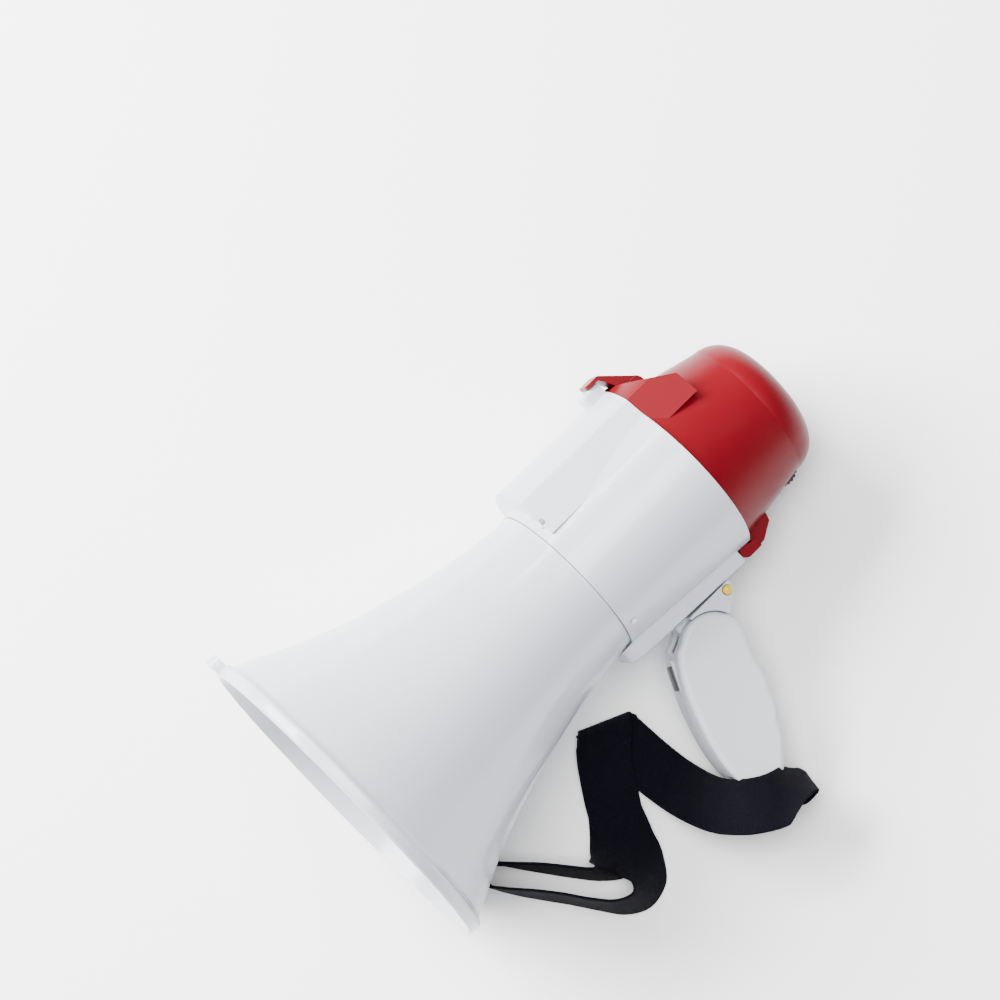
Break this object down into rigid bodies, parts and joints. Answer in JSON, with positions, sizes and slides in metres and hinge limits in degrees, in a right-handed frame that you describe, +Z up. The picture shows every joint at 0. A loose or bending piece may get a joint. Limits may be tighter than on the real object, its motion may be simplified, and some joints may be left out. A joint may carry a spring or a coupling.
{
  "type": "handheld megaphone",
  "caption": "Small handheld megaphone on its side: flared horn, round body, latched rear cap with microphone, folding pistol grip with talk trigger, webbing wrist strap.",
  "frame": {"origin": "bottom centre of the whole part as it lies on its right side, strap included", "axes": "+Z up from the ground; the horn opens towards -X and slightly up, the rear cap is towards +X, the grip and strap towards -Y"},
  "size_m": [0.2812, 0.2206, 0.1582],
  "materials": {
    "white_plastic": "smooth moulded, bluish white",
    "grip_plastic": "satin moulded, light grey white",
    "red_plastic": "glossy moulded, deep red",
    "white_inner": "moulded, satin",
    "black_plastic": "moulded",
    "dark_grey_plastic": "moulded",
    "yellow_plastic": "moulded yellow",
    "steel": "zinc plated",
    "magnet": "sintered, dark",
    "film": "clear amber film",
    "copper": "enamelled copper wire",
    "spring_steel": "nickel plated",
    "cell_can": "plain sleeve",
    "board": "glass fibre board",
    "heatsink": "mill finish",
    "gasket": "soft rubber",
    "webbing": "woven, near black navy"
  },
  "bodies": {
    "horn_body": {"base_rail": "white_plastic", "battery_cell_1": "cell_can", "battery_cell_2": "cell_can", "battery_cell_3": "cell_can", "battery_cell_4": "cell_can", "battery_holder": "black_plastic", "body_shell": "white_plastic", "cap_hinge_pin": "steel", "cap_seal": "gasket", "contact_plate": "steel", "contact_springs": "spring_steel", "driver_baffle": "dark_grey_plastic", "driver_diaphragm": "film", "driver_magnet": "magnet", "driver_screws": "steel", "driver_top_plate": "steel", "driver_yoke": "steel", "handle_bracket": "white_plastic", "handle_pin": "steel", "horn_bell": "white_plastic", "neck_gasket": "gasket", "rail_screws": "steel", "reflector_cup": "white_inner", "shell_screws": "steel", "siren_button_spring": "spring_steel", "siren_switch": "black_plastic", "strap": "webbing", "throat_tube": "white_inner", "voice_coil": "copper"},
    "cap": {"rear_cap": "red_plastic", "mic_grille": "black_plastic", "mic_boot": "gasket", "mic_capsule": "steel", "amplifier_board": "board", "board_screws": "steel", "board_capacitors": "black_plastic", "board_heatsink": "heatsink", "volume_pot": "steel", "latch_pin": "steel"},
    "latch_plate": {"latch": "red_plastic"},
    "volume_knob": {"volume_wheel": "black_plastic"},
    "grip": {"handle_left": "grip_plastic", "handle_right": "grip_plastic", "handle_screws": "steel", "ptt_switch": "black_plastic", "ptt_spring": "spring_steel", "fold_lock_spring": "spring_steel", "strap_bar": "steel", "strap_anchor": "webbing"},
    "talk_trigger": {"ptt_trigger": "black_plastic"},
    "lock_key": {"fold_lock_button": "black_plastic"},
    "siren_key": {"siren_button": "yellow_plastic"}
  },
  "joints": [
    {"name": "cap_hinge", "type": "hinge", "parent": "horn_body", "child": "cap", "pos_m": [0.07416, -0.01489, 0.02982], "axis": [-0.1594, 0.3327, -0.9295], "range_deg": [0, 90]},
    {"name": "latch_hinge", "type": "hinge", "parent": "cap", "child": "latch_plate", "pos_m": [0.09435, 0.06754, 0.05585], "axis": [-0.1594, 0.3327, -0.9295], "range_deg": [0, 78]},
    {"name": "volume_turn", "type": "hinge", "parent": "cap", "child": "volume_knob", "pos_m": [0.1134, -0.0015, 0.02788], "axis": [-0.1594, 0.3327, -0.9295], "range_deg": [0, 270]},
    {"name": "handle_fold", "type": "hinge", "parent": "horn_body", "child": "grip", "pos_m": [0.03309, -0.03422, 0.02994], "axis": [-0.1594, 0.3327, -0.9295], "range_deg": [0, 34]},
    {"name": "trigger_press", "type": "slide", "parent": "grip", "child": "talk_trigger", "axis": [0.8695, -0.3985, -0.2917], "range_m": [0, 0.002], "stiffness_N_per_m": 300, "springref_m": -0.002},
    {"name": "lock_press", "type": "slide", "parent": "grip", "child": "lock_key", "axis": [0.1594, -0.3327, 0.9295], "range_m": [0, 0.0016], "stiffness_N_per_m": 300, "springref_m": -0.002},
    {"name": "siren_press", "type": "slide", "parent": "horn_body", "child": "siren_key", "axis": [-0.1594, 0.3327, -0.9295], "range_m": [0, 0.0012], "stiffness_N_per_m": 400, "springref_m": -0.0015}
  ]
}
